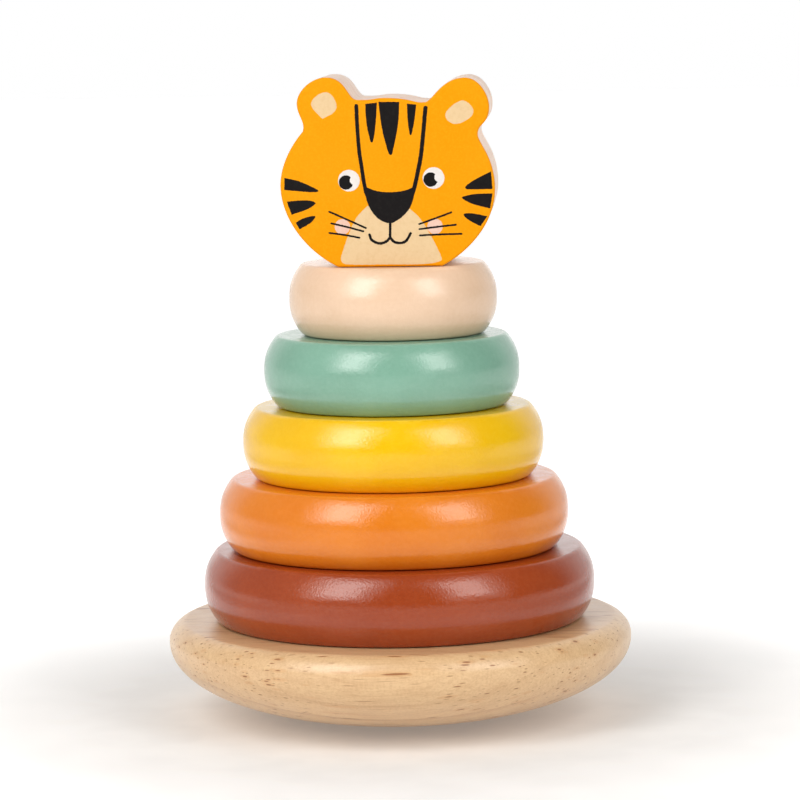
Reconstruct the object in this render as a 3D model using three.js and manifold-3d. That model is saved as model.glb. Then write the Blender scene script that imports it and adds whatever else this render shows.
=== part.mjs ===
// Wooden stacking ring toy: a rocker base with a glued centre peg, five turned rings
// that drop over the peg from the largest to the smallest, and a thick tiger head
// that caps the peg. Millimetres, +Z up, the front of the tiger faces -Y.
// The origin is the middle of the small flat foot under the rocker.

import * as THREE from "three";
import { mergeVertices } from "three/addons/utils/BufferGeometryUtils.js";
import Module from "manifold-3d";

const wasm = await Module();
wasm.setup();

// Rocker base
const baseRadius = 65;
const baseHeight = 27.4;
const baseRimDrop = 5.2; // from the flat top down to the widest line
const baseTopRadius = 60.1;
const baseShoulderPower = 1.8;
const baseKeelPower = 2.14;
const baseFootRadius = 12;
const baseSides = 64;

// Peg and its glued joint
const pegRadius = 6.5;
const pegTopAboveBase = 122;
const pegTipRounding = 3;
const pegTailChamfer = 1;
const pegSides = 32;
const glueGap = 0.3;
const socketDepth = 18;

// Rings, all from one board thickness
const ringPitch = 20;
const stackGap = 0.15; // air left between two faces that rest on each other
const ringHeight = ringPitch - stackGap;
const ringBoreRadius = 8;
const ringBoreChamfer = 0.9;
const ringCrown = 3.7; // how far the rounded side falls back at its top and bottom edge
const ringCrownPower = 2.4;
const ringCrownSteps = 10;
const ringEdgeRadius = 0.8;
const ringSides = 48;

// Each ring hangs a little to one side on the peg, as far as its slack bore lets it.
const rings = [
  { name: "ring_brown", radius: 54.8, sideways: 0, colour: 0xad4f2d },
  { name: "ring_orange", radius: 48.9, sideways: -1.2, colour: 0xee8b29 },
  { name: "ring_yellow", radius: 42.1, sideways: -1.1, colour: 0xfac903 },
  { name: "ring_green", radius: 35.7, sideways: -1.2, colour: 0x8bb8a3 },
  { name: "ring_cream", radius: 29, sideways: -0.5, colour: 0xf7d8b9 },
];

// Head: an outline sawn from a thick block, with both rims lightly rounded over
const headThickness = 40;
const headRimRounding = 0.6;
const headTurn = THREE.MathUtils.degToRad(-3); // turned a little about the peg
const headSideways = -0.45;
const headSocketRadius = 7.7;
const headSocketDepth = 26;
const headSocketSides = 32;
const headCurveSteps = 7;

// Outline of the head, counter-clockwise from the right end of its flat chin.
// Each point: x, height, heading of the outline in degrees, curve handle before, handle after.
const headOutline = [
  [14.7, 0, 27, 0, 8],
  [29.3, 20.9, 90, 9.5, 8.8], // right cheek
  [24.8, 35.6, 93, 2.5, 3.1],
  [28, 43.3, 90, 5.2, 2.4], // right ear
  [21.1, 51.1, 182, 4.6, 6.4],
  [10.5, 44.6, 183, 2.1, 3.5],
  [0.4, 45.9, 178, 7, 4.1], // crown
  [-7.9, 45.5, 177, 4.9, 2.8],
  [-16.5, 51.7, 180, 5.9, 3.9], // left ear
  [-24.4, 44.3, 274, 3.6, 3.2],
  [-22.9, 37.1, 254, 2.8, 0.1],
  [-29.3, 22.5, 269, 8.1, 8], // left cheek
  [-13.9, 0, -27, 11, 0],
];

function paint(colour) {
  return new THREE.MeshStandardMaterial({ color: colour, roughness: 0.38, metalness: 0 });
}

function bareWood(colour) {
  return new THREE.MeshStandardMaterial({ color: colour, roughness: 0.55, metalness: 0 });
}

// Solid of revolution about Z. The profile runs from the bottom upwards.
function turned(profile, sides) {
  const points = profile.map(([radius, height]) => new THREE.Vector2(radius, height));
  const geometry = new THREE.LatheGeometry(points, sides);
  return geometry.rotateX(Math.PI / 2);
}

function named(name, geometry, material) {
  const mesh = new THREE.Mesh(geometry, material);
  mesh.name = name;
  return mesh;
}

// Rounded keel between the foot and the widest line: a superellipse quarter, with its
// lowest part cut off by the flat foot.
function keelHeight(radius, depth) {
  const across = Math.min(1, radius / baseRadius);
  return -depth * (1 - across ** baseKeelPower) ** (1 / baseKeelPower);
}

function rockerBase() {
  const widest = baseHeight - baseRimDrop;
  const cutOff = 1 + keelHeight(baseFootRadius, 1); // share of the keel that the foot takes
  const keelDepth = widest / (1 - cutOff);
  const keelSteps = 16;
  const shoulderSteps = 6;
  const floor = baseHeight - socketDepth;
  const socketRadius = pegRadius + glueGap;
  const profile = [[0, 0], [baseFootRadius, 0]];
  const startAngle = Math.acos((baseFootRadius / baseRadius) ** (baseKeelPower / 2));
  for (let i = 1; i <= keelSteps; i++) {
    const angle = startAngle * (1 - i / keelSteps);
    const radius = baseRadius * Math.cos(angle) ** (2 / baseKeelPower);
    profile.push([radius, widest + keelHeight(radius, keelDepth)]);
  }
  for (let i = 1; i <= shoulderSteps; i++) {
    const rise = i / shoulderSteps;
    const reach = (1 - rise ** baseShoulderPower) ** (1 / baseShoulderPower);
    profile.push([
      baseTopRadius + (baseRadius - baseTopRadius) * reach,
      widest + baseRimDrop * rise,
    ]);
  }
  profile.push([socketRadius, baseHeight], [socketRadius, floor], [0, floor]);
  return named("rocker_base", turned(profile, baseSides), bareWood(0xe6c196));
}

function centrePeg() {
  const tail = baseHeight - socketDepth + glueGap;
  const tip = baseHeight + pegTopAboveBase;
  const tipSteps = 4;
  const profile = [[0, tail], [pegRadius - pegTailChamfer, tail], [pegRadius, tail + pegTailChamfer]];
  for (let i = 0; i <= tipSteps; i++) {
    const angle = (Math.PI / 2) * (i / tipSteps);
    profile.push([
      pegRadius - pegTipRounding + pegTipRounding * Math.cos(angle),
      tip - pegTipRounding + pegTipRounding * Math.sin(angle),
    ]);
  }
  profile.push([0, tip]);
  return named("centre_peg", turned(profile, pegSides), bareWood(0xe3bf92));
}

// Closed ring section: the crowned side from bottom to top, then down the bore.
function ringProfile(radius) {
  const half = ringHeight / 2;
  const profile = [];
  for (let i = 0; i <= ringCrownSteps; i++) {
    const angle = Math.PI * (i / ringCrownSteps - 0.5);
    const along = Math.sin(angle) * (1 - ringEdgeRadius / half);
    const side = radius - ringCrown * Math.abs(along) ** ringCrownPower;
    profile.push([side, half * (1 + along)]);
  }
  const edge = radius - ringCrown - ringEdgeRadius;
  profile.push(
    [edge, ringHeight],
    [ringBoreRadius + ringBoreChamfer, ringHeight],
    [ringBoreRadius, ringHeight - ringBoreChamfer],
    [ringBoreRadius, ringBoreChamfer],
    [ringBoreRadius + ringBoreChamfer, 0],
    [edge, 0],
  );
  profile.push(profile[0]);
  return profile;
}

function stackingRing(spec, level) {
  const mesh = named(spec.name, turned(ringProfile(spec.radius), ringSides), paint(spec.colour));
  mesh.position.set(spec.sideways, 0, baseHeight + stackGap + level * ringPitch);
  return mesh;
}

function headShape() {
  const towards = ([x, y, heading], distance) => {
    const angle = THREE.MathUtils.degToRad(heading);
    return [x + distance * Math.cos(angle), y + distance * Math.sin(angle)];
  };
  const shape = new THREE.Shape();
  shape.moveTo(headOutline[0][0], headOutline[0][1]);
  for (let i = 1; i < headOutline.length; i++) {
    const from = headOutline[i - 1];
    const to = headOutline[i];
    shape.bezierCurveTo(...towards(from, from[4]), ...towards(to, -to[3]), to[0], to[1]);
  }
  shape.closePath();
  return shape;
}

function solid(geometry) {
  const bare = geometry.clone();
  bare.deleteAttribute("normal");
  bare.deleteAttribute("uv");
  const merged = mergeVertices(bare, 1e-4);
  return new wasm.Manifold(new wasm.Mesh({
    numProp: 3,
    vertProperties: merged.attributes.position.array,
    triVerts: new Uint32Array(merged.index.array),
  }));
}

function geometryOf(manifold) {
  const mesh = manifold.getMesh();
  const geometry = new THREE.BufferGeometry();
  geometry.setAttribute("position", new THREE.BufferAttribute(mesh.vertProperties, 3));
  geometry.setIndex(new THREE.BufferAttribute(mesh.triVerts, 1));
  geometry.computeVertexNormals();
  return geometry;
}

function headBlock() {
  const geometry = new THREE.ExtrudeGeometry(headShape(), {
    depth: headThickness - 2 * headRimRounding,
    curveSegments: headCurveSteps,
    bevelThickness: headRimRounding,
    bevelSize: headRimRounding,
    bevelOffset: -headRimRounding,
    bevelSegments: 2,
  });
  geometry.translate(0, 0, headRimRounding - headThickness / 2);
  return geometry.rotateX(Math.PI / 2);
}

// Blind socket that drops over the tip of the peg, with a domed end.
function headSocket() {
  const dome = 2;
  const below = -1;
  return turned([
    [0, below],
    [headSocketRadius, below],
    [headSocketRadius, headSocketDepth - dome],
    [headSocketRadius - dome, headSocketDepth],
    [0, headSocketDepth],
  ], headSocketSides);
}

function tigerHead() {
  const carved = solid(headBlock()).subtract(solid(headSocket()));
  const mesh = named("tiger_head", geometryOf(carved), paint(0xfca714));
  mesh.position.set(headSideways, 0, baseHeight + stackGap + rings.length * ringPitch);
  mesh.rotation.z = headTurn;
  return mesh;
}

const toy = new THREE.Group();
toy.add(rockerBase(), centrePeg());
rings.forEach((spec, level) => toy.add(stackingRing(spec, level)));
toy.add(tigerHead());

export default toy;
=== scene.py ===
import math

import bpy
from mathutils import Matrix, Vector, noise


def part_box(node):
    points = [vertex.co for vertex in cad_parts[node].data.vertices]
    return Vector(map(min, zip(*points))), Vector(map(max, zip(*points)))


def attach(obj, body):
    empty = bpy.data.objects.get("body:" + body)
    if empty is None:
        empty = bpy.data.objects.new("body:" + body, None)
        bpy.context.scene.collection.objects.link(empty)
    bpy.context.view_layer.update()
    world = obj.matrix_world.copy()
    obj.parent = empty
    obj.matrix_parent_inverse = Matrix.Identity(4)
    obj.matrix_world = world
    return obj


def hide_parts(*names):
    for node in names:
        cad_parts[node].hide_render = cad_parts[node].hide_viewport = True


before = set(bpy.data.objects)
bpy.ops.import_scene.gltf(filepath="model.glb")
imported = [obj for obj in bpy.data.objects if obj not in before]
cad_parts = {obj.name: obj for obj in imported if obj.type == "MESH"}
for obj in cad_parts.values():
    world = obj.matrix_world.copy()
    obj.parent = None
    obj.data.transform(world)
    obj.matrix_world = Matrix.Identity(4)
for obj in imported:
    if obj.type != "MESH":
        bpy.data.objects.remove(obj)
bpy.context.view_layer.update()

mm = 0.001


def newPiece(name, points, faces, materials, faceMaterials=None):
    mesh = bpy.data.meshes.new(name)
    mesh.from_pydata(points, [], faces)
    for material in materials:
        mesh.materials.append(material)
    if faceMaterials:
        mesh.polygons.foreach_set("material_index", faceMaterials)
    mesh.update()
    piece = bpy.data.objects.new(name, mesh)
    bpy.context.scene.collection.objects.link(piece)
    return piece


def smoothOver(piece, degrees):
    # shaded smooth, apart from creases sharper than this
    mesh = piece.data
    mesh.polygons.foreach_set("use_smooth", [True] * len(mesh.polygons))
    mesh.set_sharp_from_angle(angle=math.radians(degrees))


def spin(profile, sides, closed):
    # profile of (radius, height), bottom to top; a closed one is a ring section
    points, rows, faces = [], [], []
    for radius, height in profile:
        if radius < 1e-7:
            rows.append([len(points)] * sides)
            points.append((0, 0, height))
            continue
        rows.append(list(range(len(points), len(points) + sides)))
        for side in range(sides):
            angle = 2 * math.pi * side / sides
            points.append((radius * math.cos(angle), radius * math.sin(angle), height))
    for low, high in zip(rows, rows[1:] + (rows[:1] if closed else [])):
        for side in range(sides):
            after = (side + 1) % sides
            corners = [low[side], low[after], high[after], high[side]]
            faces.append([c for i, c in enumerate(corners) if c not in corners[:i]])
    return points, faces


def roundedCorner(start, corner, end, steps):
    # soft turn between two straight runs, without its first point
    turn = []
    for i in range(1, steps + 1):
        t = i / steps
        turn.append(tuple(
            (1 - t) ** 2 * a + 2 * t * (1 - t) * b + t * t * c
            for a, b, c in zip(start, corner, end)
        ))
    return turn


def srgb(red, green, blue):
    def linear(v):
        v /= 255
        return v / 12.92 if v <= 0.04045 else ((v + 0.055) / 1.055) ** 2.4
    return (linear(red), linear(green), linear(blue), 1)


def add(tree, kind, inputs=None, **settings):
    node = tree.nodes.new("ShaderNode" + kind)
    for key, value in settings.items():
        setattr(node, key, value)
    for key, value in (inputs or {}).items():
        if isinstance(value, bpy.types.NodeSocket):
            tree.links.new(value, node.inputs[key])
        else:
            node.inputs[key].default_value = value
    return node


def calc(tree, operation, first, second=0.0, third=0.0):
    return add(tree, "Math", {0: first, 1: second, 2: third}, operation=operation).outputs[0]


def blendColour(tree, share, first, second):
    return add(tree, "Mix", {0: share, 6: first, 7: second}, data_type="RGBA").outputs[2]


def ramp(tree, value, low, high, outLow=0.0, outHigh=1.0):
    inputs = {
        "Value": value,
        "From Min": low,
        "From Max": high,
        "To Min": outLow,
        "To Max": outHigh,
    }
    return add(tree, "MapRange", inputs, interpolation_type="SMOOTHSTEP").outputs[0]


def shaded(tree, colour, value, low, high, share, target):
    # the target colour comes in, up to this share, as the value rises from low to high
    return blendColour(tree, ramp(tree, value, low, high, 0, share), colour, target)


def tinted(tree, colour, mask, share, target):
    return blendColour(tree, calc(tree, "MULTIPLY", mask, share), colour, target)


def grains(tree, place, size, detail=2.0, roughness=0.5):
    # cloudy noise whose lumps are about this size in metres
    inputs = {"Vector": place, "Scale": 1 / size, "Detail": detail, "Roughness": roughness}
    return add(tree, "TexNoise", inputs).outputs["Fac"]


def stretched(tree, place, stretch, shift=(0, 0, 0)):
    return add(tree, "Mapping", {"Vector": place, "Scale": stretch, "Location": shift}).outputs[0]


def unevenRoughness(tree, place, size, middle, below, above):
    return ramp(tree, grains(tree, place, size, 3), 0.3, 0.7, middle - below, middle + above)


def scattered(tree, cells, least, extra, solid, keepShare):
    # 1 inside a spot in each cell, in only a share of the cells; past its solid part a spot fades
    picked = add(tree, "SeparateColor", {"Color": cells.outputs["Color"]})
    reach = calc(tree, "MULTIPLY_ADD", picked.outputs[1], extra, least)
    nearness = calc(tree, "DIVIDE", cells.outputs["Distance"], reach)
    inside = ramp(tree, nearness, solid, 1.0, 1, 0)
    return calc(tree, "MULTIPLY", inside, calc(tree, "LESS_THAN", picked.outputs[0], keepShare))


def dots(tree, place, size, dotShare, keepShare):
    # round spots, about this share of their cell's size
    cells = add(tree, "TexVoronoi", {"Vector": place, "Scale": 1 / size})
    return scattered(tree, cells, dotShare * 0.5, dotShare * 0.6, 0.6, keepShare)


def tubes(tree, across, gap, tubeShare, keepShare):
    # soft tubes seen end on, about this share of the gap between them
    cells = add(tree, "TexVoronoi", {"Vector": across, "Scale": 1 / gap}, voronoi_dimensions="2D")
    return scattered(tree, cells, tubeShare * 0.6, tubeShare * 0.8, 0.35, keepShare)


def startMaterial(name):
    material = bpy.data.materials.new(name)
    material.use_nodes = True
    tree = material.node_tree
    tree.nodes.clear()
    shader = add(tree, "BsdfPrincipled")
    add(tree, "OutputMaterial", {"Surface": shader.outputs[0]})
    place = add(tree, "TexCoord").outputs["Object"]
    return material, tree, shader, place


def setBump(tree, shader, layers):
    # layers of (height, depth in metres), each bump feeds the next
    normal = None
    for height, depth in layers:
        bump = add(tree, "Bump", {"Height": height, "Distance": depth, "Strength": 1.0})
        if normal:
            tree.links.new(normal, bump.inputs["Normal"])
        normal = bump.outputs[0]
    tree.links.new(normal, shader.inputs["Normal"])


# the figure that all the wood here shares: sizes and depths of its marks
woodFigure = {
    "swaysPerMetre": 60.0,
    "sway": 1.2 * mm,
    "wander": 30 * mm,
    "lateWoodPower": 7.0,
    "strength": 20 * mm,
    "sandedFade": 10 * mm,
    "patch": 20 * mm,
    "cloud": 2.5 * mm,
    "fibre": 0.5 * mm,
    "speckle": 0.4 * mm,
    "fleck": 0.7 * mm,
    "crowd": 7 * mm,
    "dash": 1.6 * mm,
    "dashesKept": 0.62,
    "scorch": 8 * mm,
    "sheen": 4 * mm,
    "poreDepth": 0.03 * mm,
    "fibreDepth": 0.014 * mm,
    "speckleDepth": 0.008 * mm,
}


def swayed(tree, along):
    # fibres that run slightly to and fro
    slow = stretched(tree, along, (0.6, 0.2, 0.2))
    inputs = {"Vector": slow, "Scale": woodFigure["swaysPerMetre"], "Detail": 1.0}
    sway = add(tree, "TexNoise", inputs).outputs["Color"]
    reach = (woodFigure["sway"], woodFigure["sway"], woodFigure["sway"])
    sway = add(tree, "VectorMath", {0: sway, 1: reach}, operation="MULTIPLY").outputs[0]
    return add(tree, "VectorMath", {0: along, 1: sway}, operation="ADD").outputs[0]


def growthLines(tree, look, place, along):
    # late wood at the end of each growth layer; the layers curve about a far heart
    heart = (0, look["heartSide"], look["heartDepth"])
    bent = add(tree, "VectorMath", {0: along, 1: heart}, operation="SUBTRACT").outputs[0]
    split = add(tree, "SeparateXYZ", {"Vector": bent})
    aside = calc(tree, "MULTIPLY", split.outputs[1], split.outputs[1])
    below = calc(tree, "MULTIPLY", split.outputs[2], split.outputs[2])
    reach = calc(tree, "SQRT", calc(tree, "ADD", aside, below))
    wander = grains(tree, stretched(tree, along, (0.25, 1, 1)), woodFigure["wander"], 2)
    wander = calc(tree, "MULTIPLY", wander, look["wander"])
    layer = calc(tree, "ADD", calc(tree, "DIVIDE", reach, look["layer"]), wander)
    late = calc(tree, "POWER", calc(tree, "FRACT", layer), woodFigure["lateWoodPower"])
    # a line is strong in one place and nearly gone in another
    strength = grains(tree, stretched(tree, along, (0.3, 1, 1), (0.4, 0, 0)), woodFigure["strength"])
    late = calc(tree, "MULTIPLY", late, ramp(tree, strength, 0.25, 0.5))
    # the lines are fainter where the wood is sanded most, above this height
    height = add(tree, "SeparateXYZ", {"Vector": place}).outputs[2]
    sanded = ramp(tree, height, look["sanded"], look["sanded"] + woodFigure["sandedFade"], 1, 0.3)
    return calc(tree, "MULTIPLY", late, sanded)


def woodTone(tree, look, along, late, fibre, speckle):
    # broad pale patches, then the fine marks over them
    broad = grains(tree, stretched(tree, along, (0.3, 1, 1), (0.1, 0.2, 0)), woodFigure["patch"], 3)
    colour = blendColour(tree, ramp(tree, broad, 0.35, 0.65), look["light"], look["mid"])
    cloud = grains(tree, stretched(tree, along, (0.2, 1, 1), (0.7, 0, 0)), woodFigure["cloud"], 2)
    colour = shaded(tree, colour, cloud, 0.4, 0.75, look["cloud"], look["dark"])
    colour = shaded(tree, colour, fibre, 0.4, 0.7, look["fibre"], look["dark"])
    colour = shaded(tree, colour, speckle, 0.42, 0.7, look["speckle"], look["dark"])
    colour = tinted(tree, colour, late, look["lines"], look["dark"])
    fleck = grains(tree, stretched(tree, along, (1, 1, 0.15), (0, 0, 0.3)), woodFigure["fleck"], 1)
    colour = shaded(tree, colour, fleck, 0.52, 0.68, look["flecks"], look["light"])
    darkFleck = ramp(tree, fleck, 0.3, 0.46, look["flecks"] * 0.5, 0)
    return blendColour(tree, darkFleck, colour, look["dark"])


def woodPores(tree, look, along, spindles):
    # vessels are long tubes with the grain: a dash where the surface runs along them,
    # a dot where it crosses them; each is wider along the layers than across them
    parts = add(tree, "SeparateXYZ", {"Vector": along})
    flat = calc(tree, "MULTIPLY", parts.outputs[1], 0.5)
    across = add(tree, "CombineXYZ", {"X": flat, "Y": parts.outputs[2]}).outputs[0]
    gap, vessel = look["vesselGap"], look["vessel"]
    fine = tubes(tree, across, gap, vessel * 0.7 / gap, 0.8)
    bold = tubes(tree, across, gap * 2, vessel / gap / 2, 0.7)
    ends = calc(tree, "MAXIMUM", calc(tree, "MULTIPLY", fine, 0.7), bold)
    crowd = grains(tree, stretched(tree, along, (0.5, 1, 1), (0, 0.5, 0)), woodFigure["crowd"], 1)
    ends = calc(tree, "MULTIPLY", ends, ramp(tree, crowd, 0.36, 0.5))
    dashes = dots(tree, spindles, woodFigure["dash"], 0.2, woodFigure["dashesKept"])
    return calc(tree, "MAXIMUM", ends, dashes)


def woodMaterial(name, look):
    # the grain runs along X once the place is turned
    material, tree, shader, place = startMaterial(name)
    turned = {"Vector": place, "Rotation": look["turn"], "Location": look["shift"]}
    along = swayed(tree, add(tree, "Mapping", turned).outputs[0])
    fibre = grains(tree, stretched(tree, along, (0.05, 1, 1)), woodFigure["fibre"], 3, 0.7)
    speckle = grains(tree, stretched(tree, along, (0.5, 1, 1)), woodFigure["speckle"], 2, 0.6)
    late = growthLines(tree, look, place, along)
    colour = woodTone(tree, look, along, late, fibre, speckle)

    spindles = stretched(tree, along, (0.06, 0.5, 1))
    pores = woodPores(tree, look, along, spindles)
    # a warm stain around the dashes
    stain = dots(tree, spindles, woodFigure["dash"], 0.45, woodFigure["dashesKept"])
    colour = tinted(tree, colour, stain, look["pores"] * 0.3, look["stain"])
    scorch = stretched(tree, place, (1, 0.4, 1), (0.04, 0, 0.02))
    scorch = ramp(tree, grains(tree, scorch, woodFigure["scorch"], 3), 0.6, 0.72)
    colour = tinted(tree, colour, scorch, look["scorch"], look["stain"])
    colour = tinted(tree, colour, pores, look["pores"], look["pore"])
    tree.links.new(colour, shader.inputs["Base Color"])

    rough = unevenRoughness(tree, along, woodFigure["sheen"], look["rough"], 0.05, 0.06)
    rough = calc(tree, "ADD", rough, calc(tree, "MULTIPLY", pores, 0.2))
    tree.links.new(rough, shader.inputs["Roughness"])
    shader.inputs["Coat Weight"].default_value = look["coat"]
    shader.inputs["Coat Roughness"].default_value = 0.3
    setBump(tree, shader, [
        (calc(tree, "SUBTRACT", 1.0, pores), woodFigure["poreDepth"]),
        (fibre, woodFigure["fibreDepth"]),
        (speckle, woodFigure["speckleDepth"]),
    ])
    return material


# tones, how the grain lies (radians and metres), then the strength of each mark
baseWoodLook = {
    "light": srgb(231, 195, 147),
    "mid": srgb(226, 189, 142),
    "dark": srgb(188, 140, 92),
    "pore": srgb(150, 91, 40),
    "stain": srgb(206, 144, 82),
    "turn": (0.04, 0.02, 0.09),
    "shift": (0.01, 0.03, 0.004),
    "heartSide": 0.05,
    "heartDepth": -0.1085,
    "layer": 0.0085,
    "wander": 0.9,
    "lines": 0.85,
    "sanded": 0.009,
    "cloud": 0.22,
    "fibre": 0.3,
    "speckle": 0.22,
    "flecks": 0.25,
    "scorch": 0.0,
    "vesselGap": 0.0012,
    "vessel": 0.00023,
    "pores": 0.9,
    "rough": 0.4,
    "coat": 0.65,
}
pegWoodLook = dict(
    baseWoodLook,
    turn=(0, math.radians(90), 0),
    shift=(0.2, 0.1, 0.05),
    layer=0.0032,
    heartSide=0.012,
    heartDepth=0.015,
    sanded=1.0,  # above the whole piece: the lines don't fade
    rough=0.55,
    coat=0.0,
)
washedWoodLook = dict(
    baseWoodLook,
    light=srgb(254, 236, 222),
    mid=srgb(250, 227, 209),
    dark=srgb(226, 180, 150),
    pore=srgb(206, 160, 132),
    stain=srgb(222, 152, 112),
    scorch=0.6,
    turn=(0, 0, 0.02),
    shift=(0.03, 0.3, 0.01),
    heartSide=0.4,
    heartDepth=0.03,
    layer=0.005,
    lines=0.6,
    sanded=1.0,
    pores=0.4,
    flecks=0.1,
    speckle=0.1,
    rough=0.5,
    coat=0.0,
)


# what all the paints share: gloss, sizes of the marks in the paint, their shares and depths
paintFinish = {
    "rough": 0.15,
    "gloss": 0.6,
    "cloud": 20 * mm,
    "mottle": 1.2 * mm,
    "mottleShare": 0.12,
    "grain": 0.9 * mm,
    "grainShare": 0.1,
    "specks": 9 * mm,
    "speckShare": 0.45,
    "rub": 5 * mm,
    "rubShare": 0.3,
    "sheen": 6 * mm,
    "swell": 1.8 * mm,
    "wrinkle": 0.55 * mm,
    "grainDepth": 0.01 * mm,
    "swellDepth": 0.02 * mm,
    "wrinkleDepth": 0.05 * mm,
    "speckDepth": -0.05 * mm,  # below zero: a speck is a pit
}
ringLooks = {
    "ring_brown": dict(
        paintFinish,
        slot="brown_paint",
        colour=srgb(158, 65, 24),
        deep=srgb(150, 59, 21),
        thin=srgb(182, 92, 54),
        speck=srgb(110, 48, 26),
    ),
    "ring_orange": dict(
        paintFinish,
        slot="orange_paint",
        colour=srgb(227, 129, 27),
        deep=srgb(220, 120, 21),
        thin=srgb(241, 156, 75),
        speck=srgb(150, 80, 30),
    ),
    "ring_yellow": dict(
        paintFinish,
        slot="yellow_paint",
        colour=srgb(241, 190, 0),
        deep=srgb(236, 183, 0),
        thin=srgb(252, 214, 66),
        speck=srgb(150, 110, 40),
    ),
    "ring_green": dict(
        paintFinish,
        slot="green_paint",
        colour=srgb(127, 174, 153),
        deep=srgb(120, 166, 145),
        thin=srgb(153, 192, 172),
        speck=srgb(80, 110, 96),
        gloss=0.72,
    ),
    "ring_cream": dict(
        paintFinish,
        slot="cream_paint",
        colour=srgb(232, 199, 169),
        deep=srgb(227, 193, 161),
        thin=srgb(245, 219, 194),
        speck=srgb(160, 120, 92),
    ),
}


def paintMaterial(name, look, shift):
    material, tree, shader, place = startMaterial(name)
    spot = stretched(tree, place, (1, 1, 1), shift)
    cloud = grains(tree, spot, look["cloud"], 2)
    colour = blendColour(tree, ramp(tree, cloud, 0.3, 0.7), look["deep"], look["colour"])
    mottle = grains(tree, spot, look["mottle"], 2)
    colour = shaded(tree, colour, mottle, 0.3, 0.75, look["mottleShare"], look["thin"])
    # wood grain that shows faintly through the paint
    grain = grains(tree, stretched(tree, spot, (0.06, 1, 1)), look["grain"], 3, 0.6)
    colour = shaded(tree, colour, grain, 0.5, 0.8, look["grainShare"], look["thin"])
    specks = dots(tree, spot, look["specks"], 0.035, 0.3)
    colour = tinted(tree, colour, specks, look["speckShare"], look["speck"])
    # paint rubbed thin here and there along the turned edges
    edge = add(tree, "Attribute", attribute_name="edge").outputs["Fac"]
    patches = ramp(tree, grains(tree, spot, look["rub"], 4, 0.7), 0.5, 0.72)
    rub = calc(tree, "MULTIPLY", edge, patches)
    colour = tinted(tree, colour, rub, look["rubShare"], look["thin"])
    tree.links.new(colour, shader.inputs["Base Color"])
    rough = unevenRoughness(tree, spot, look["sheen"], look["rough"], 0.03, 0.04)
    rough = calc(tree, "ADD", rough, calc(tree, "MULTIPLY", rub, 0.1))
    tree.links.new(rough, shader.inputs["Roughness"])
    shader.inputs["Specular IOR Level"].default_value = look["gloss"]
    swell = grains(tree, spot, look["swell"], 1)
    wrinkle = grains(tree, stretched(tree, spot, (1, 1, 0.8)), look["wrinkle"], 1)
    setBump(tree, shader, [
        (grain, look["grainDepth"]),
        (swell, look["swellDepth"]),
        (wrinkle, look["wrinkleDepth"]),
        (specks, look["speckDepth"]),
    ])
    return material


ringForm = {
    "bore": 8 * mm,
    "boreEase": 0.9 * mm,
    "crown": 3.7 * mm,
    "crownPower": 2.4,
    "edge": 0.8 * mm,
    "cornerReach": 0.98,
    "boreRow": 0.4,
    "crease": 60,
    "sides": 224,
    "crownSteps": 36,
    "edgeSteps": 6,
    "easeSteps": 5,
    "paintShift": (0.13, 0.07, 0.05),
}


def ringSection(radius, height):
    # up the crown, over the top, down the bore and back below, with the rows of its two edges
    form = ringForm
    half = height / 2
    reach = 1 - form["edge"] / half
    crown = []
    for i in range(form["crownSteps"] + 1):
        along = reach * math.sin(math.pi * (i / form["crownSteps"] - 0.5))
        crown.append((radius - form["crown"] * abs(along) ** form["crownPower"], half * along))
    corner = (radius - form["cornerReach"] * form["crown"], half)
    flat = (radius - form["crown"] - form["edge"], half)
    turn = roundedCorner(crown[-1], corner, flat, form["edgeSteps"])
    bore, ease = form["bore"], form["boreEase"]
    mouth = [(bore + 2 * ease, half), (bore + ease, half)]
    mouth += roundedCorner(mouth[-1], (bore, half), (bore, half - ease), form["easeSteps"])
    upper = turn + mouth + [(bore, half * form["boreRow"])]
    lower = [(r, -z) for r, z in reversed(upper)]
    section = crown + upper + lower
    edgeRows = set(range(len(crown) - 2, len(crown) + form["edgeSteps"] - 1))
    edgeRows |= set(range(len(section) - form["edgeSteps"], len(section))) | {0, 1}
    return section, edgeRows


def markEdges(piece, edgeRows, sides):
    # tells the paint where the turned edges are
    values = []
    for row in range(len(piece.data.vertices) // sides):
        values += [1.0 if row in edgeRows else 0.0] * sides
    attribute = piece.data.attributes.new("edge", "FLOAT", "POINT")
    attribute.data.foreach_set("value", values)


def makeRing(name, look, order):
    low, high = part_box(name)
    centre = (low + high) / 2
    section, edgeRows = ringSection((high.x - low.x) / 2, high.z - low.z)
    points, faces = spin(section, ringForm["sides"], True)
    points = [(x + centre.x, y + centre.y, z + centre.z) for x, y, z in points]
    shift = tuple(v * order for v in ringForm["paintShift"])
    material = paintMaterial(look["slot"], look, shift)
    ring = newPiece(name.replace("ring_", "turnedRing_"), points, faces, [material])
    markEdges(ring, edgeRows, ringForm["sides"])
    smoothOver(ring, ringForm["crease"])
    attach(ring, name)
    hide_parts(name)


for order, (name, look) in enumerate(ringLooks.items()):
    makeRing(name, look, order)
print("toy: rings turned and painted")


baseForm = {
    "rimDrop": 5.2 * mm,
    "topRadius": 60.1 * mm,
    "shoulderPower": 1.8,
    "shoulderSteps": 18,
    "keelPower": 2.14,
    "keelSteps": 48,
    "foot": 12 * mm,
    "footEase": 0.2 * mm,
    "socketDepth": 18 * mm,
    "socketSlack": 0.3 * mm,
    "mouthEase": 0.5 * mm,
    "mouthRow": 1.2 * mm,
    "mouthSteps": 4,
    "floorEase": 0.4 * mm,
    "crease": 35,
    "sides": 256,
}


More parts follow.
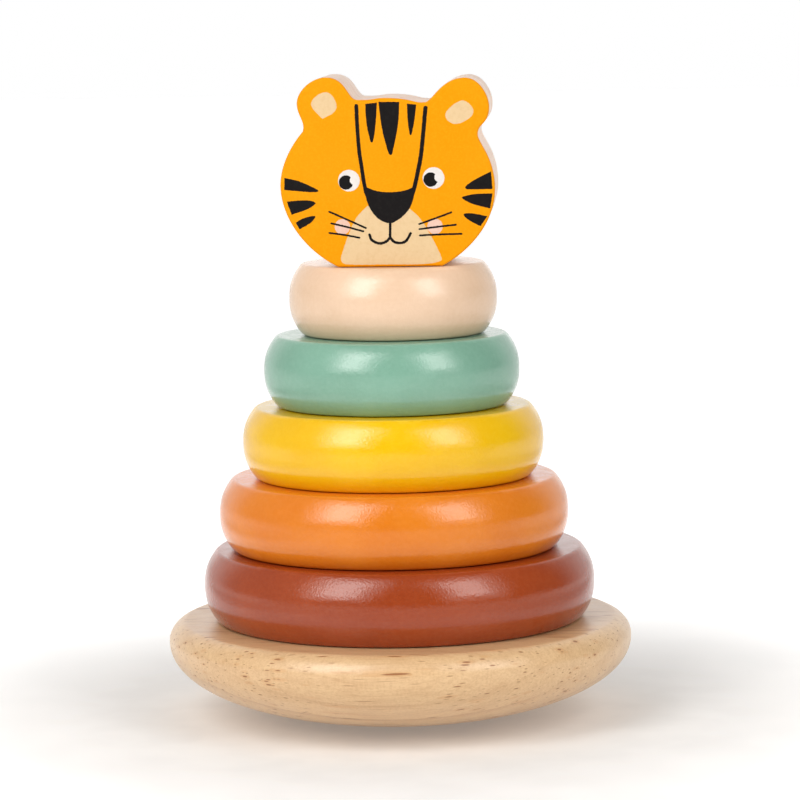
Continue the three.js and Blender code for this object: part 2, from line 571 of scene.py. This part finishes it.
def keelLine(radius, widest):
    # flat foot, then the full underside out to the widest line
    form = baseForm
    power = form["keelPower"]
    cut = (1 - (form["foot"] / radius) ** power) ** (1 / power)
    depth = widest / cut
    start = math.acos((form["foot"] / radius) ** (power / 2))
    line = [(0, 0), (form["foot"] * 0.5, 0), (form["foot"] - form["footEase"], 0)]
    for i in range(form["keelSteps"] + 1):
        r = radius * math.cos(start * (1 - i / form["keelSteps"])) ** (2 / power)
        line.append((r, widest - depth * max(0, 1 - (r / radius) ** power) ** (1 / power)))
    return line


def shoulderLine(radius, widest):
    # from the widest line over to the flat top
    form = baseForm
    inner, power = form["topRadius"], form["shoulderPower"]
    line = []
    for i in range(1, form["shoulderSteps"] + 1):
        rise = math.sin(math.pi / 2 * i / form["shoulderSteps"])
        reach = max(0, 1 - rise ** power) ** (1 / power)
        line.append((inner + (radius - inner) * reach, widest + form["rimDrop"] * rise))
    return line


def socketLine(top):
    # flat top, then the peg's blind socket with its eased mouth
    form = baseForm
    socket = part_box("centre_peg")[1].x + form["socketSlack"]
    mouth, ease = form["mouthEase"], form["floorEase"]
    line = [(form["topRadius"] * 0.7, top), (socket + form["mouthRow"], top), (socket + mouth, top)]
    line += roundedCorner(line[-1], (socket, top), (socket, top - mouth), form["mouthSteps"])
    floor = top - form["socketDepth"]
    return line + [(socket, floor + ease), (socket - ease, floor), (0, floor)]


def makeBase():
    low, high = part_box("rocker_base")
    widest = high.z - baseForm["rimDrop"]
    section = keelLine(high.x, widest) + shoulderLine(high.x, widest) + socketLine(high.z)
    points, faces = spin(section, baseForm["sides"], False)
    base = newPiece("rockerBase", points, faces, [woodMaterial("lacqueredWood", baseWoodLook)])
    smoothOver(base, baseForm["crease"])
    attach(base, "base")
    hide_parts("rocker_base")


pegForm = {"tip": 3 * mm, "tipSteps": 10, "chamfer": 1 * mm, "crease": 40, "sides": 96}


def makePeg():
    low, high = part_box("centre_peg")
    radius, tip, chamfer = high.x, pegForm["tip"], pegForm["chamfer"]
    section = [(0, low.z), (radius - chamfer, low.z), (radius, low.z + chamfer)]
    for i in range(pegForm["tipSteps"] + 1):
        angle = math.pi / 2 * i / pegForm["tipSteps"]
        section.append((radius - tip + tip * math.cos(angle), high.z - tip + tip * math.sin(angle)))
    section.append((0, high.z))
    points, faces = spin(section, pegForm["sides"], False)
    peg = newPiece("centrePeg", points, faces, [woodMaterial("pegWood", pegWoodLook)])
    smoothOver(peg, pegForm["crease"])
    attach(peg, "base")
    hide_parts("centre_peg")


makeBase()
makePeg()
print("toy: base and peg made")


headForm = {
    "thickness": 40 * mm,
    "rim": 0.6 * mm,
    "turn": math.radians(-3),
    "socketRadius": 7.7 * mm,
    "socketDepth": 26 * mm,
    "socketDome": 2 * mm,
    "socketSides": 64,
    "domeSteps": 5,
    "cutterProud": 1 * mm,
    "crease": 35,
    "curveSteps": 20,
    "chinSteps": 12,
    "rimSteps": 6,
    "wallSteps": 10,
    # x, height, heading in degrees, handle before, handle after; millimetres from the chin's middle
    "outline": [
        (14.7, 0, 27, 0, 8), (29.3, 20.9, 90, 9.5, 8.8), (24.8, 35.6, 93, 2.5, 3.1),
        (28, 43.3, 90, 5.2, 2.4), (21.1, 51.1, 182, 4.6, 6.4), (10.5, 44.6, 183, 2.1, 3.5),
        (0.4, 45.9, 178, 7, 4.1), (-7.9, 45.5, 177, 4.9, 2.8), (-16.5, 51.7, 180, 5.9, 3.9),
        (-24.4, 44.3, 274, 3.6, 3.2), (-22.9, 37.1, 254, 2.8, 0.1), (-29.3, 22.5, 269, 8.1, 8),
        (-13.9, 0, -27, 11, 0),
    ],
}


def heading(degrees):
    return Vector((math.cos(math.radians(degrees)), math.sin(math.radians(degrees))))


def sawnOutline():
    knots, steps = headForm["outline"], headForm["curveSteps"]
    line = []
    for (x0, y0, h0, _, out), (x1, y1, h1, into, _) in zip(knots, knots[1:]):
        start, end = Vector((x0, y0)), Vector((x1, y1))
        leave = start + out * heading(h0)
        arrive = end - into * heading(h1)
        for i in range(steps):
            t = i / steps
            s = 1 - t
            line.append(s ** 3 * start + 3 * s * s * t * leave + 3 * s * t * t * arrive + t ** 3 * end)
    first, last = Vector(knots[0][:2]), Vector(knots[-1][:2])
    line += [last.lerp(first, i / headForm["chinSteps"]) for i in range(headForm["chinSteps"])]
    return [p * mm for p in line]


def drawnIn(line, distance):
    # the outline moved inwards, each point square to the line between its neighbours
    moved = []
    for i, p in enumerate(line):
        before, after = line[i - 1], line[(i + 1) % len(line)]
        tangent = (after - before).normalized()
        moved.append(p + distance * Vector((-tangent.y, tangent.x)))
    return moved


def headPlace():
    low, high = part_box("tiger_head")
    middle = (low + high) / 2
    return Matrix.Translation((middle.x, middle.y, low.z)) @ Matrix.Rotation(headForm["turn"], 4, "Z")


def headBlock(materials):
    # rows of the outline from the face to the back; the flat faces and their round rims are printed
    rim, half = headForm["rim"], headForm["thickness"] / 2
    printed, walls = headForm["rimSteps"], headForm["wallSteps"]
    rows = []
    for i in range(printed + 1):
        angle = math.pi / 2 * i / printed
        rows.append((rim * (1 - math.sin(angle)), -half + rim * (1 - math.cos(angle))))
    rows += [(0, -half + rim + (2 * half - 2 * rim) * i / walls) for i in range(1, walls)]
    rows += [(inset, -depth) for inset, depth in reversed(rows[:printed + 1])]
    line = sawnOutline()
    points, faces, looks = [], [], []
    for inset, depth in rows:
        points += [(p.x, depth, p.y) for p in drawnIn(line, inset)]
    count = len(line)
    for row in range(len(rows) - 1):
        here, beyond = row * count, (row + 1) * count
        bare = printed <= row < len(rows) - 1 - printed
        for i in range(count):
            after = (i + 1) % count
            faces.append([beyond + i, beyond + after, here + after, here + i])
            looks.append(1 if bare else 0)
    faces.append(list(range(count)))
    faces.append([(len(rows) - 1) * count + i for i in reversed(range(count))])
    looks += [0, 0]
    return newPiece("tigerHead", points, faces, materials, looks)


def boreOut(block, cutter):
    change = block.modifiers.new("socket", "BOOLEAN")
    change.operation = "DIFFERENCE"
    change.solver = "EXACT"
    change.object = cutter
    graph = bpy.context.evaluated_depsgraph_get()
    carved = bpy.data.meshes.new_from_object(block.evaluated_get(graph))
    block.modifiers.clear()
    block.data = carved
    bpy.data.objects.remove(cutter)


def socketCutter(materials):
    form = headForm
    radius, depth, dome = form["socketRadius"], form["socketDepth"], form["socketDome"]
    section = [(0, -form["cutterProud"]), (radius, -form["cutterProud"]), (radius, depth - dome)]
    section += roundedCorner(section[-1], (radius, depth), (radius - dome, depth), form["domeSteps"])
    section.append((0, depth))
    points, faces = spin(section, headForm["socketSides"], False)
    return newPiece("socketCutter", points, faces, materials, [1] * len(faces))


headLook = {
    "orange": srgb(237, 149, 2),
    "warm": srgb(235, 151, 8),
    "pale": srgb(239, 159, 18),
    "speck": srgb(196, 122, 26),
    "cloud": 16 * mm,
    "mottle": 0.6 * mm,
    "mottleShare": 0.6,
    "scuff": 6 * mm,
    "scuffShare": 0.6,
    "specks": 8 * mm,
    "speckShare": 0.6,
    "sheen": 3 * mm,
    "rough": 0.5,
    "gloss": 0.06,
    "fibre": 0.6 * mm,
    "dimples": 0.9 * mm,
    "depth": 0.008 * mm,
}


def faceMaterial():
    look = headLook
    material, tree, shader, place = startMaterial("headPaint")
    cloud = grains(tree, place, look["cloud"], 3)
    colour = blendColour(tree, ramp(tree, cloud, 0.35, 0.7), look["orange"], look["warm"])
    mottle = grains(tree, place, look["mottle"], 3)
    colour = shaded(tree, colour, mottle, 0.4, 0.7, look["mottleShare"], look["pale"])
    scuff = stretched(tree, place, (1, 1, 0.5), (0.21, 0, 0.4))
    scuff = ramp(tree, grains(tree, scuff, look["scuff"], 4), 0.66, 0.74)
    colour = tinted(tree, colour, scuff, look["scuffShare"], look["pale"])
    specks = dots(tree, place, look["specks"], 0.03, 0.35)
    colour = tinted(tree, colour, specks, look["speckShare"], look["speck"])
    tree.links.new(colour, shader.inputs["Base Color"])
    rough = unevenRoughness(tree, place, look["sheen"], look["rough"], 0.05, 0.06)
    tree.links.new(rough, shader.inputs["Roughness"])
    shader.inputs["Specular IOR Level"].default_value = look["gloss"]
    fibre = grains(tree, stretched(tree, place, (1, 1, 0.05)), look["fibre"])
    dimples = grains(tree, place, look["dimples"])
    setBump(tree, shader, [(fibre, look["depth"]), (dimples, look["depth"])])
    return material


inkFinish = {
    "rough": 0.5,
    "gloss": 0.1,
    "wear": 1.2 * mm,
    "pinholeGap": 2.8 * mm,
    "pinhole": srgb(150, 120, 90),
    "pinholeShare": 0.3,
    "sheen": 2 * mm,
    "dimples": 0.6 * mm,
    "depth": 0.008 * mm,
}
inkLooks = {
    "black": dict(inkFinish, ink=srgb(21, 18, 19), worn=srgb(27, 25, 24), pinholeShare=0.1),
    "cream": dict(inkFinish, ink=srgb(222, 193, 150), worn=srgb(217, 186, 141)),
    "pink": dict(inkFinish, ink=srgb(226, 190, 174), worn=srgb(222, 183, 165)),
    "white": dict(inkFinish, ink=srgb(226, 220, 216), worn=srgb(220, 212, 206)),
}


def inkMaterial(name):
    look = inkLooks[name]
    material, tree, shader, place = startMaterial(name + "Ink")
    worn = ramp(tree, grains(tree, place, look["wear"], 4, 0.65), 0.4, 0.75)
    colour = blendColour(tree, worn, look["ink"], look["worn"])
    pinholes = dots(tree, place, look["pinholeGap"], 0.05, 0.3)
    colour = tinted(tree, colour, pinholes, look["pinholeShare"], look["pinhole"])
    tree.links.new(colour, shader.inputs["Base Color"])
    rough = unevenRoughness(tree, place, look["sheen"], look["rough"], 0.06, 0.06)
    tree.links.new(rough, shader.inputs["Roughness"])
    shader.inputs["Specular IOR Level"].default_value = look["gloss"]
    setBump(tree, shader, [(grains(tree, place, look["dimples"]), look["depth"])])
    return material


# fineness of the drawn lines, then the print's raggedness and the thickness of its ink, in millimetres
printForm = {
    "loopSteps": 8,
    "strokeSteps": 10,
    "discSides": 48,
    "capSteps": 6,
    "edgeStep": 0.2,
    "ragsPerMillimetre": 2.6,
    "rag": 0.09,
    "proud": 0.012,
    "prouder": 0.0015,
    "sunk": 0.05,
}


def swing(a, b, leave, arrive, steps):
    # points from a up to but not at b, which leave and arrive along the two directions
    line = []
    for k in range(steps):
        t = k / steps
        line.append(
            (2 * t ** 3 - 3 * t * t + 1) * a + (t ** 3 - 2 * t * t + t) * leave
            + (3 * t * t - 2 * t ** 3) * b + (t ** 3 - t * t) * arrive
        )
    return line


def loop(*knots):
    # closed smooth curve through the knots; a knot with a third value is a sharp corner
    line, count = [], len(knots)
    for i in range(count):
        before, here, after, beyond = (knots[(i + k) % count] for k in (-1, 0, 1, 2))
        a, b = Vector(here[:2]), Vector(after[:2])
        leave = (b - a) if len(here) > 2 else (b - Vector(before[:2])) / 2
        arrive = (b - a) if len(after) > 2 else (Vector(beyond[:2]) - a) / 2
        reach = (b - a).length
        leave, arrive = leave.normalized() * reach, arrive.normalized() * reach
        line += swing(a, b, leave, arrive, printForm["loopSteps"])
    return line


def disc(x, y, radius):
    sides = printForm["discSides"]
    angles = [2 * math.pi * i / sides for i in range(sides)]
    return [Vector((x + radius * math.cos(a), y + radius * math.sin(a))) for a in angles]


def roundEnd(centre, angle, radius):
    # half circle that starts at this angle, without its two ends
    steps = printForm["capSteps"]
    angles = [angle + math.pi * i / steps for i in range(1, steps)]
    return [centre + radius * Vector((math.cos(a), math.sin(a))) for a in angles]


def stroke(width, *knots):
    # drawn line with round ends, smooth through its knots
    path = []
    for i in range(len(knots) - 1):
        a, b = Vector(knots[i]), Vector(knots[i + 1])
        before = Vector(knots[i - 1]) if i else 2 * a - b
        beyond = Vector(knots[i + 2]) if i + 2 < len(knots) else 2 * b - a
        path += swing(a, b, (b - before) / 2, (beyond - a) / 2, printForm["strokeSteps"])
    path.append(Vector(knots[-1]))
    half = width / 2
    left, right = [], []
    for i, p in enumerate(path):
        ahead = (path[min(i + 1, len(path) - 1)] - path[max(i - 1, 0)]).normalized()
        side = Vector((-ahead.y, ahead.x)) * half
        left.append(p + side)
        right.append(p - side)
    start = (path[1] - path[0]).angle_signed(Vector((1, 0)))
    finish = (path[-1] - path[-2]).angle_signed(Vector((1, 0)))
    endCap = roundEnd(path[-1], finish - math.pi / 2, half)
    startCap = roundEnd(path[0], start + math.pi / 2, half)
    return right + endCap + left[::-1] + startCap


mouthWidth = 0.72
whiskerWidth = 0.5
# layers of the print from the wood up: ink and shapes, in millimetres from the chin's middle
facePrint = [
    ("pink", [disc(-12.5, 11.0, 2.1), disc(12.8, 10.8, 2.1)]),
    ("cream", [
        # ears, then the muzzle
        loop(
            (-16.3, 47.7), (-14.5, 46.5), (-13.5, 43.9), (-14.3, 42.2), (-17.4, 40.5, 1),
            (-20.4, 44.2), (-19.1, 46.6),
        ),
        loop(
            (20.4, 44.9), (22.6, 44), (23.7, 41.8), (22.1, 39.8), (18.6, 38.6), (16.2, 40.3),
            (16.6, 42.3),
        ),
        loop(
            (-5.5, 16.7, 1), (-8.5, 13.6), (-10.6, 9.5), (-12.6, 4), (-13, 1.8), (-11.8, 0.8), (-1, 0.6),
            (10.3, 0.6), (14.2, 1.4), (14.4, 2.4), (11.8, 8), (8.6, 13.2), (6, 15.7, 1), (0.5, 14),
        ),
    ]),
    ("white", [disc(-10.5, 23.6, 2.95), disc(12.6, 24.0, 2.95)]),
    ("black", [
        # three stripes on the crown
        loop(
            (-5.7, 44.4, 1), (-2.5, 44.7, 1), (-2.8, 40.2), (-3.6, 34.6), (-4.1, 33.9), (-4.6, 34.9),
            (-5.4, 39),
        ),
        loop((-2.1, 44.9, 1), (3.6, 44.8, 1), (3.2, 39), (1.6, 31.4), (1, 30.4), (0.3, 31.4), (-1.2, 37.5)),
        loop((5.7, 44.3, 1), (8.2, 44, 1), (7.7, 40.1), (6.9, 36.3), (6.5, 35.7), (6.2, 36.6), (5.8, 40)),
        # three on each cheek
        loop(
            (-28.1, 24.6, 1), (-24.1, 23.6), (-19.4, 21.4), (-18.9, 20.9), (-19.6, 20.6), (-23.4, 20.8),
            (-28.2, 21.3, 1),
        ),
        loop((-27.6, 18.1, 1), (-22.7, 18.4), (-20.1, 18), (-19.8, 17.4), (-21.9, 16), (-26.3, 14.5, 1)),
        loop(
            (-25.3, 12.3, 1), (-23.1, 13.5), (-20.1, 14.1), (-19.9, 13.7), (-21.2, 12.2),
            (-24.2, 10.5, 1),
        ),
        loop((28.3, 25.6, 1), (24.2, 23.6), (21.5, 21.8), (21.2, 21.1), (22, 20.8), (28.6, 20.8, 1)),
        loop((28.6, 19.6, 1), (24.1, 19.5), (20.7, 18.9), (20.3, 18.4), (22.9, 16.9), (27.9, 15.5, 1)),
        loop((27.1, 13.4, 1), (23.3, 14.2), (20.9, 14.2), (20.7, 13.7), (22.1, 12.4), (25.2, 10.7, 1)),
        # lines from the crown down to the nose, then the nose
        stroke(1.04, (-8.1, 43.9), (-8, 39.2), (-7.6, 32.2), (-6.9, 26.8), (-6.1, 21.4), (-5.2, 18.4)),
        stroke(1.12, (10.7, 43.1), (10.1, 37.4), (9.3, 30.5), (8.2, 25.1), (7.3, 21.4), (6.3, 18.4)),
        loop(
            (-6.2, 22.4, 1), (-5.6, 21.7), (-2.6, 20.6), (1, 20.3), (4.6, 20.7), (7, 21.6), (7.6, 22, 1),
            (7.3, 19.6), (6.2, 16.3), (4.2, 13.8), (2, 12.3), (0.5, 11.8), (-2.2, 12.8), (-4.3, 15),
            (-5.8, 18.4),
        ),
        # mouth and whiskers
        stroke(mouthWidth, (0.6, 12.2), (0.55, 9.8), (0.5, 7.9)),
        stroke(mouthWidth, (-5.1, 8.8), (-4.5, 7.3), (-2.6, 6.4), (-0.6, 6.8), (0.5, 8)),
        stroke(mouthWidth, (0.5, 8), (1.5, 6.8), (3.2, 6.4), (4.9, 7), (6.1, 9)),
        stroke(whiskerWidth, (-16, 15.2), (-11, 12.9), (-6.1, 10.6)),
        stroke(whiskerWidth, (-15.5, 12), (-11, 10.9), (-6.8, 9.7)),
        stroke(whiskerWidth, (-16.1, 9.4), (-12, 8.8), (-7.9, 8)),
        stroke(whiskerWidth, (8.5, 11.5), (12.9, 13), (17.3, 14.6)),
        stroke(whiskerWidth, (8.5, 10.1), (13.5, 10.7), (18.5, 11.2)),
        stroke(whiskerWidth, (8.6, 8.4), (14, 8.6), (20, 8.7)),
        # pupils
        disc(-11.3, 23.1, 1.95),
        disc(11.8, 23.6, 1.95),
    ]),
    ("white", [disc(-8.9, 23.7, 1.35), disc(14.2, 24.2, 1.35)]),
]
backStripes = facePrint[3][1][:9]  # the crown and cheek stripes, all that the back carries


def roughEdge(line, seed):
    # the ragged edge of a pad print, under a tenth of a millimetre
    often = printForm["ragsPerMillimetre"]
    elsewhere = Vector((9, 3, 5))
    ragged = []
    for p in line:
        q = Vector((p.x * often, p.y * often, seed))
        step = Vector((noise.noise(q), noise.noise(q + elsewhere)))
        ragged.append(p + step * printForm["rag"])
    return ragged


def finer(line, longest):
    dense = []
    for i, p in enumerate(line):
        q = line[(i + 1) % len(line)]
        pieces = max(1, math.ceil((q - p).length / longest))
        dense += [p.lerp(q, k / pieces) for k in range(pieces)]
    return dense


def inkFilm(name, layers, material, facing):
    # each shape is its own thin closed film, a touch prouder than the one before it
    form, half = printForm, headForm["thickness"] / 2
    points, faces = [], []
    for order, line in layers:
        line = roughEdge(finer(line, form["edgeStep"]), order)
        area = sum(a.x * b.y - b.x * a.y for a, b in zip(line, line[1:] + line[:1]))
        if area < 0:
            line.reverse()
        proud = (form["proud"] + form["prouder"] * order) * mm
        start, count = len(points), len(line)
        for depth in (half - form["sunk"] * mm, half + proud):
            points += [(p.x * mm, -depth * facing, p.y * mm) for p in line]
        back, front = range(start, start + count), range(start + count, start + 2 * count)
        shape = [list(reversed(back)), list(front)]
        for i in range(count):
            after = (i + 1) % count
            shape.append([back[i], back[after], front[after], front[i]])
        faces += shape if facing > 0 else [list(reversed(f)) for f in shape]
    film = newPiece(name, points, faces, [material])
    film.data.transform(headPlace())
    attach(film, "head")


def printHead():
    inks = {name: inkMaterial(name) for name in inkLooks}
    order = 0
    for number, (ink, lines) in enumerate(facePrint):
        layers = list(enumerate(lines, order))
        order += len(lines)
        inkFilm(f"facePrint_{ink}_{number}", layers, inks[ink], 1)
    inkFilm("backPrint_black", list(enumerate(backStripes)), inks["black"], -1)


def makeHead():
    materials = [faceMaterial(), woodMaterial("washedWood", washedWoodLook)]
    head = headBlock(materials)
    boreOut(head, socketCutter(materials))
    head.data.transform(headPlace())
    smoothOver(head, headForm["crease"])
    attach(head, "head")
    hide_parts("tiger_head")


makeHead()
printHead()
print("toy: head sawn and printed")


studio = {
    "boxDistance": 0.95,
    # azimuth, elevation, width, height, radiance: each soft box has a brighter heart
    "boxes": [
        (-38, 34, 0.72, 0.95, 1.75), (-37, 34, 0.36, 0.66, 4.0),
        (45, 29, 0.72, 0.95, 1.05), (44, 30, 0.36, 0.62, 3.4),
    ],
    "boxColour": (1, 0.985, 0.97),
    "middle": 0.09,
    # strengths, then between which directions each one comes in
    "frontSky": 0.12,
    "backSky": 0.9,
    "leftSky": 0.4,
    "horizonGlow": 0.35,
    "backEdge": (0.25, 0.8),
    "leftEdge": (-0.9, -0.2),
    "horizonEdge": (0.88, 0.97),
    "horizonTop": (0.1, 0.4),
    "skyColour": (1, 0.99, 0.98, 1),
}
# metres and shares of full glow; a pair is where a change begins and ends
floorLook = {
    "halfWidth": 6,
    "pale": srgb(223, 222, 220),
    "paler": srgb(229, 228, 226),
    "cloud": 20 * mm,
    "sheen": 50 * mm,
    "rough": (0.75, 0.85),
    "toyReach": (0.06, 0.22),
    "glow": (0.16, 0.75),
    "frontEdge": (-0.2, -0.08),
    "farFloor": (0.9, 1.6),
    "laneMiddle": -0.015,
    "laneWidening": 0.12,
    "laneEdge": (0.13, 0.22),
    "sideReach": (0.28, 0.5),
    "sideGlow": (0.05, 0.8),
}


def floorMaterial():
    look = floorLook
    material, tree, shader, place = startMaterial("paleFloor")
    cloud = grains(tree, place, look["cloud"], 2)
    colour = blendColour(tree, ramp(tree, cloud, 0.3, 0.7), look["pale"], look["paler"])
    tree.links.new(colour, shader.inputs["Base Color"])
    rough = ramp(tree, grains(tree, place, look["sheen"], 2), 0.3, 0.7, *look["rough"])
    tree.links.new(rough, shader.inputs["Roughness"])
    # painted light: the floor glows as if lit from below like a light table, more so behind the toy and not
    # close in front of it
    shader.inputs["Emission Color"].default_value = (1, 1, 1, 1)
    away = add(tree, "VectorMath", {0: place}, operation="LENGTH").outputs["Value"]
    glow = ramp(tree, away, *look["toyReach"], *look["glow"])
    split = add(tree, "SeparateXYZ", {"Vector": place})
    behind = ramp(tree, split.outputs[1], *look["frontEdge"])
    lit = calc(tree, "MAXIMUM", behind, ramp(tree, away, *look["farFloor"]))
    # the lit part widens away from the camera; beside it the floor stays dimmer
    aside = calc(tree, "ABSOLUTE", calc(tree, "SUBTRACT", split.outputs[0], look["laneMiddle"]))
    widening = calc(tree, "MULTIPLY", split.outputs[1], look["laneWidening"])
    lane = ramp(tree, calc(tree, "SUBTRACT", aside, widening), *look["laneEdge"], 1, 0)
    sides = ramp(tree, away, *look["sideReach"], *look["sideGlow"])
    lit = calc(tree, "MULTIPLY", lit, calc(tree, "MAXIMUM", lane, sides))
    tree.links.new(calc(tree, "MULTIPLY", glow, lit), shader.inputs["Emission Strength"])
    return material


def makeFloor():
    size = floorLook["halfWidth"]
    corners = [(-size, -size, 0), (size, -size, 0), (size, size, 0), (-size, size, 0)]
    floor = newPiece("floor", corners, [[0, 1, 2, 3]], [floorMaterial()])


def makeSky():
    # bright behind the toy, fainter on its left, dim elsewhere; the camera sees plain white
    world = bpy.data.worlds.new("studioSky")
    bpy.context.scene.world = world
    world.use_nodes = True
    tree = world.node_tree
    tree.nodes.clear()
    place = add(tree, "TexCoord").outputs["Generated"]
    split = add(tree, "SeparateXYZ", {"Vector": place})
    aside, ahead, up = split.outputs[0], split.outputs[1], split.outputs[2]
    behind = ramp(tree, ahead, *studio["backEdge"], studio["frontSky"], studio["backSky"])
    left = ramp(tree, aside, *studio["leftEdge"], studio["leftSky"], studio["frontSky"])
    low = ramp(tree, up, *studio["horizonTop"], 1, 0)
    horizon = calc(tree, "MULTIPLY", ramp(tree, ahead, *studio["horizonEdge"]), low)
    horizon = calc(tree, "MULTIPLY", horizon, studio["horizonGlow"])
    strength = calc(tree, "ADD", calc(tree, "MAXIMUM", behind, left), horizon)
    seen = add(tree, "LightPath").outputs["Is Camera Ray"]
    light = add(tree, "Background", {"Color": studio["skyColour"], "Strength": strength})
    plain = add(tree, "Background", {"Color": (1, 1, 1, 1), "Strength": 1.0})
    mixed = add(tree, "MixShader", {0: seen, 1: light.outputs[0], 2: plain.outputs[0]})
    add(tree, "OutputWorld", {"Surface": mixed.outputs[0]})


def makeBoxes():
    for number, (azimuth, elevation, width, height, radiance) in enumerate(studio["boxes"]):
        lamp = bpy.data.lights.new(f"softBox{number}", "AREA")
        lamp.shape = "RECTANGLE"
        lamp.size, lamp.size_y = width, height
        lamp.energy = radiance * math.pi * width * height
        lamp.color = studio["boxColour"]
        a, e = math.radians(azimuth), math.radians(elevation)
        towards = Vector((math.sin(a) * math.cos(e), -math.cos(a) * math.cos(e), math.sin(e)))
        box = bpy.data.objects.new(lamp.name, lamp)
        box.location = Vector((0, 0, studio["middle"])) + towards * studio["boxDistance"]
        box.rotation_euler = towards.to_track_quat("Z", "Y").to_euler()
        bpy.context.scene.collection.objects.link(box)


# metres, degrees, and the lens and sensor in millimetres
cameraView = {
    "distance": 0.9963,
    "elevation": 6.581,
    "height": 0.0885,
    "side": 0.00096,
    "roll": -0.949,
    "lens": 160.12,
    "sensor": 36,
}


def makeCamera():
    view = cameraView
    data = bpy.data.cameras.new("camera")
    data.lens = view["lens"]
    data.sensor_width = view["sensor"]
    camera = bpy.data.objects.new("camera", data)
    tilt = math.radians(view["elevation"])
    away = Vector((0, -math.cos(tilt), math.sin(tilt)))
    spot = Vector((view["side"], 0, view["height"])) + away * view["distance"]
    tip = Matrix.Rotation(math.pi / 2 - tilt, 4, "X")
    roll = Matrix.Rotation(math.radians(view["roll"]), 4, "Z")
    camera.matrix_world = Matrix.Translation(spot) @ (tip @ roll)
    bpy.context.scene.collection.objects.link(camera)
    bpy.context.scene.camera = camera


makeFloor()
makeSky()
makeBoxes()
makeCamera()
bpy.context.scene.view_settings.view_transform = "Standard"
print("toy: floor, light and camera set")

print("toy: done")
